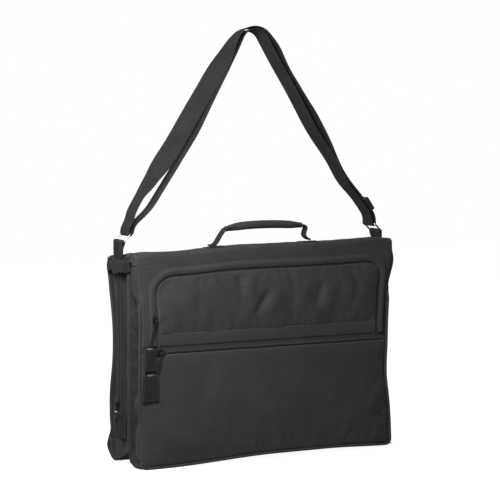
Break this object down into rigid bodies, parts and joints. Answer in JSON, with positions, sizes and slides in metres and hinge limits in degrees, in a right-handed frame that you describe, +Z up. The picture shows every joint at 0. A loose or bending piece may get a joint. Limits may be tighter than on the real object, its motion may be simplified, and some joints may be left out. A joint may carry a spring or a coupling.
{
  "type": "garment bag",
  "caption": "Bi-fold garment bag of dark ribbed cloth: pocketed front half, rear half with hanger hook, zips, grab handle and shoulder strap on rings.",
  "frame": {"origin": "on the floor, in the middle of the width and depth of the standing bag", "axes": "+Z up towards the shoulder strap's top, +X across the bag to the right seen from the front, +Y towards the rear half"},
  "size_m": [0.5766, 0.15, 0.834],
  "materials": {
    "cloth": "woven polyester with a fine cross rib, slight satin sheen",
    "piping": "cloth-covered cord",
    "lining": "thin smooth lining",
    "stiffener": "pressed board",
    "webbing": "ribbed woven webbing",
    "handle_wrap": "padded cloth wrap, stitched",
    "zip_tape": "fine twill tape",
    "zip_coil": "moulded nylon coil",
    "plastic": "moulded, fine texture",
    "nickel": "polished nickel plate"
  },
  "bodies": {
    "rear_half": {"rear_back_panel": "cloth", "rear_back_board": "stiffener", "rear_end_panel": "cloth", "rear_inner_panel": "lining", "rear_gusset_left": "cloth", "rear_gusset_right": "cloth", "rear_piping": "piping", "main_zip_tape": "zip_tape", "main_zip_coil": "zip_coil", "zip_end_tab": "webbing", "hook_slot_trim": "plastic", "hanger_clamp": "plastic", "garment_strap": "webbing", "garment_strap_buckle": "plastic"},
    "spine": {"spine_panel": "cloth", "spine_board": "stiffener", "handle_anchors": "webbing", "tab_patches": "webbing"},
    "handle": {"handle_grip": "handle_wrap", "handle_webbing": "webbing"},
    "shoulder_strap": {"strap_tab_left": "webbing", "strap_tab_right": "webbing", "strap_webbing": "webbing"},
    "strap_ring_left": {"ring_left": "nickel"},
    "strap_ring_right": {"ring_right": "nickel"},
    "adjuster": {"adjuster_frame": "nickel", "adjuster_bar": "nickel"},
    "front_half": {"front_upper_panel": "cloth", "arch_zip_tape": "zip_tape", "arch_zip_coil": "zip_coil", "arch_pocket_panel": "cloth", "pocket_band": "webbing", "pocket_zip_tape": "zip_tape", "pocket_zip_coil": "zip_coil", "lower_pocket_panel": "cloth", "pocket_back_panel": "lining", "front_board": "stiffener", "front_inner_panel": "lining", "front_gusset_left": "cloth", "front_gusset_right": "cloth", "front_end_panel": "cloth", "front_piping": "piping"},
    "arch_zip_slider": {"arch_slider": "nickel"},
    "arch_zip_pull": {"arch_pull": "nickel", "arch_pull_tab": "webbing"},
    "pocket_zip_slider": {"pocket_slider": "nickel"},
    "pocket_zip_pull": {"pocket_pull": "nickel", "pocket_pull_tab": "webbing"},
    "main_zip_slider": {"main_slider": "nickel"},
    "main_zip_pull": {"main_pull": "nickel", "main_pull_tab": "webbing"},
    "hook_carriage": {"hook_stem": "nickel"},
    "hook": {"hanger_hook": "nickel"}
  },
  "joints": [
    {"name": "spine_fold", "type": "hinge", "parent": "rear_half", "child": "spine", "pos_m": [0, 0.066, 0.42], "axis": [-1, 0, 0], "range_deg": [0, 90]},
    {"name": "front_fold", "type": "hinge", "parent": "spine", "child": "front_half", "pos_m": [0, -0.047, 0.42], "axis": [-1, 0, 0], "range_deg": [0, 90]},
    {"name": "handle_swing", "type": "hinge", "parent": "spine", "child": "handle", "pos_m": [0, -0.028, 0.4282], "axis": [1, 0, 0], "range_deg": [-72, 72], "stiffness_Nm_per_rad": 0.15},
    {"name": "strap_swing", "type": "hinge", "parent": "spine", "child": "shoulder_strap", "pos_m": [0, 0.0095, 0.41], "axis": [1, 0, 0], "range_deg": [-32, 32], "stiffness_Nm_per_rad": 3},
    {"name": "ring_left_sway", "type": "hinge", "parent": "shoulder_strap", "child": "strap_ring_left", "pos_m": [-0.284, 0.0095, 0.429], "axis": [0, 1, 0], "range_deg": [-3, 3], "stiffness_Nm_per_rad": 0.02},
    {"name": "ring_right_sway", "type": "hinge", "parent": "shoulder_strap", "child": "strap_ring_right", "pos_m": [0.284, 0.0095, 0.429], "axis": [0, -1, 0], "range_deg": [-3, 3], "stiffness_Nm_per_rad": 0.02},
    {"name": "adjuster_slide", "type": "slide", "parent": "shoulder_strap", "child": "adjuster", "axis": [-0.5672, 0, 0.8236], "range_m": [0, 0.3]},
    {"name": "arch_zip_slide", "type": "slide", "parent": "front_half", "child": "arch_zip_slider", "axis": [0, 0.0642, 0.9979], "range_m": [0, 0.044]},
    {"name": "arch_pull_swing", "type": "hinge", "parent": "arch_zip_slider", "child": "arch_zip_pull", "pos_m": [-0.242, -0.06204, 0.28167], "axis": [-1, 0, 0], "range_deg": [0, 120]},
    {"name": "pocket_zip_slide", "type": "slide", "parent": "front_half", "child": "pocket_zip_slider", "axis": [1, 0, 0], "range_m": [0, 0.485], "stiffness_N_per_m": 2},
    {"name": "pocket_pull_swing", "type": "hinge", "parent": "pocket_zip_slider", "child": "pocket_zip_pull", "pos_m": [-0.233, -0.06595, 0.22079], "axis": [-1, 0, 0], "range_deg": [0, 120]},
    {"name": "main_zip_slide", "type": "slide", "parent": "rear_half", "child": "main_zip_slider", "axis": [0, 0, 1], "range_m": [0, 0.25]},
    {"name": "main_pull_swing", "type": "hinge", "parent": "main_zip_slider", "child": "main_zip_pull", "pos_m": [-0.2848, 0.026, 0.114], "axis": [0, 1, 0], "range_deg": [0, 120]},
    {"name": "hook_draw", "type": "slide", "parent": "rear_half", "child": "hook_carriage", "axis": [0, 0, -1], "range_m": [0, 0.07], "stiffness_N_per_m": 250, "springref_m": -0.002},
    {"name": "hook_swivel", "type": "hinge", "parent": "hook_carriage", "child": "hook", "pos_m": [0, 0.026, 0.073], "axis": [0, 0, 1], "continuous": true}
  ],
  "couplings": [
    {"joint": "front_fold", "follows": "spine_fold", "ratio": 1}
  ]
}
